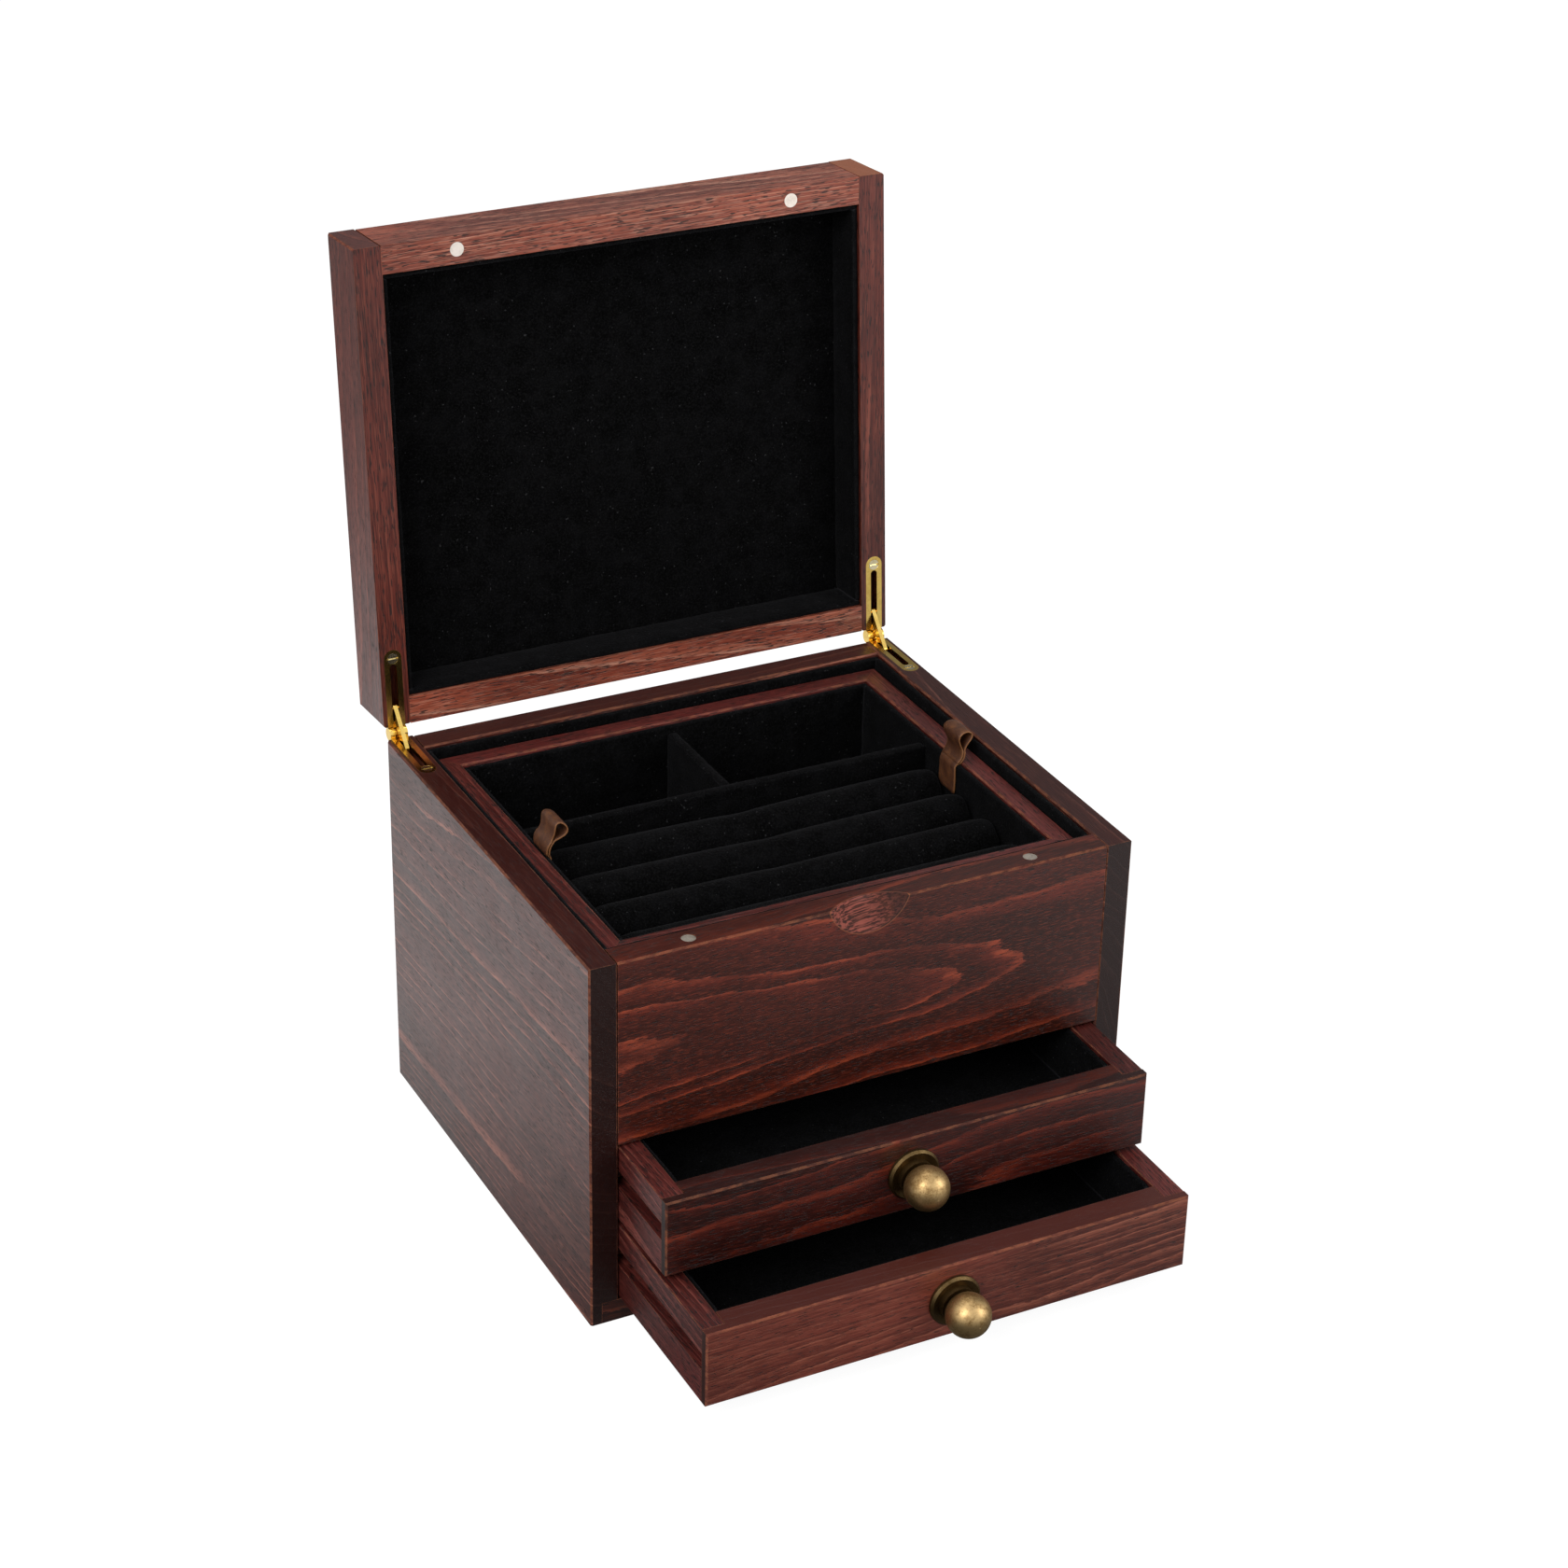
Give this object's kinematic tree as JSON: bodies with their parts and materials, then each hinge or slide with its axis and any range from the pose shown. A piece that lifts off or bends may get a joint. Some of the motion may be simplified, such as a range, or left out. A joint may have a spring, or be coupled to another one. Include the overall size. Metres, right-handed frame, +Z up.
{
  "type": "jewellery chest",
  "caption": "Mahogany-stained wooden jewellery chest with a stop-hinged lid, a lift-out ring tray lined in black velvet, and ball-knobbed drawers below.",
  "frame": {"origin": "centre of the underside of the bottom board", "axes": "+X to the chest's right, -Y out of its front, +Z up; the lid is stored open on its stops and the drawers partly out"},
  "size_m": [0.2, 0.2949, 0.313],
  "materials": {
    "mahogany_stained_wood": "mahogany stain under satin lacquer",
    "black_velvet": "short black velvet pile",
    "antique_brass": "antiqued and brushed",
    "polished_brass": "polished",
    "magnet_nickel": "nickel plate",
    "screw_steel": "zinc plate",
    "brown_leather": "smooth, waxed"
  },
  "bodies": {
    "chest": {"back_panel": "mahogany_stained_wood", "bottom_board": "mahogany_stained_wood", "chest_magnets": "magnet_nickel", "compartment_floor": "mahogany_stained_wood", "compartment_lining_floor": "black_velvet", "compartment_lining_walls": "black_velvet", "drawer_runners": "mahogany_stained_wood", "front_panel": "mahogany_stained_wood", "hinge_leaf_lower_left": "polished_brass", "hinge_leaf_lower_right": "polished_brass", "hinge_pins": "polished_brass", "hinge_screws_lower": "polished_brass", "side_panel_left": "mahogany_stained_wood", "side_panel_right": "mahogany_stained_wood"},
    "lid": {"hinge_leaf_upper_left": "polished_brass", "hinge_leaf_upper_right": "polished_brass", "hinge_link_rivets": "polished_brass", "hinge_screws_upper": "polished_brass", "lid_lining_panel": "black_velvet", "lid_lining_walls": "black_velvet", "lid_magnets": "magnet_nickel", "lid_rail_back": "mahogany_stained_wood", "lid_rail_front": "mahogany_stained_wood", "lid_rail_left": "mahogany_stained_wood", "lid_rail_right": "mahogany_stained_wood", "lid_top_panel": "mahogany_stained_wood"},
    "stop_link_left": {"hinge_stop_link_left": "polished_brass"},
    "stop_link_right": {"hinge_stop_link_right": "polished_brass"},
    "upper_drawer": {"upper_drawer_back": "mahogany_stained_wood", "upper_drawer_bottom": "mahogany_stained_wood", "upper_drawer_front": "mahogany_stained_wood", "upper_drawer_knob": "antique_brass", "upper_drawer_knob_screw": "screw_steel", "upper_drawer_lining": "black_velvet", "upper_drawer_side_left": "mahogany_stained_wood", "upper_drawer_side_right": "mahogany_stained_wood"},
    "lower_drawer": {"lower_drawer_back": "mahogany_stained_wood", "lower_drawer_bottom": "mahogany_stained_wood", "lower_drawer_front": "mahogany_stained_wood", "lower_drawer_knob": "antique_brass", "lower_drawer_knob_screw": "screw_steel", "lower_drawer_lining": "black_velvet", "lower_drawer_side_left": "mahogany_stained_wood", "lower_drawer_side_right": "mahogany_stained_wood"},
    "tray": {"pull_tab_anchors": "brown_leather", "ring_roll_1": "black_velvet", "ring_roll_2": "black_velvet", "ring_roll_3": "black_velvet", "ring_roll_4": "black_velvet", "tray_bottom": "mahogany_stained_wood", "tray_divider_long": "black_velvet", "tray_divider_short": "black_velvet", "tray_lining_floor": "black_velvet", "tray_lining_walls": "black_velvet", "tray_wall_back": "mahogany_stained_wood", "tray_wall_front": "mahogany_stained_wood", "tray_wall_left": "mahogany_stained_wood", "tray_wall_right": "mahogany_stained_wood"},
    "pull_tab_left": {"pull_tab_left": "brown_leather"},
    "pull_tab_right": {"pull_tab_right": "brown_leather"}
  },
  "joints": [
    {"name": "lid_hinge", "type": "hinge", "parent": "chest", "child": "lid", "pos_m": [0, 0.08905, 0.1382], "axis": [-1, 0, 0], "range_deg": [-94.4, 0]},
    {"name": "stop_link_left_pivot", "type": "hinge", "parent": "lid", "child": "stop_link_left", "pos_m": [-0.0952, 0.09084, 0.14709], "axis": [-1, 0, 0], "range_deg": [0, 124.8]},
    {"name": "stop_link_right_pivot", "type": "hinge", "parent": "lid", "child": "stop_link_right", "pos_m": [0.0952, 0.09084, 0.14709], "axis": [-1, 0, 0], "range_deg": [0, 124.8]},
    {"name": "upper_drawer_slide", "type": "slide", "parent": "chest", "child": "upper_drawer", "axis": [0, -1, 0], "range_m": [-0.0351, 0.075]},
    {"name": "lower_drawer_slide", "type": "slide", "parent": "chest", "child": "lower_drawer", "axis": [0, -1, 0], "range_m": [-0.0652, 0.045]},
    {"name": "tray_lift", "type": "slide", "parent": "chest", "child": "tray", "axis": [0, 0, 1], "range_m": [0, 0.1]},
    {"name": "pull_tab_left_hinge", "type": "hinge", "parent": "tray", "child": "pull_tab_left", "pos_m": [-0.0786, 0, 0.1324], "axis": [0, 1, 0], "range_deg": [-20, 35]},
    {"name": "pull_tab_right_hinge", "type": "hinge", "parent": "tray", "child": "pull_tab_right", "pos_m": [0.0786, 0, 0.1324], "axis": [0, 1, 0], "range_deg": [-60, 4]}
  ],
  "couplings": [
    {"joint": "stop_link_left_pivot", "follows": "lid_hinge", "ratio": -1.321},
    {"joint": "stop_link_right_pivot", "follows": "lid_hinge", "ratio": -1.321}
  ]
}
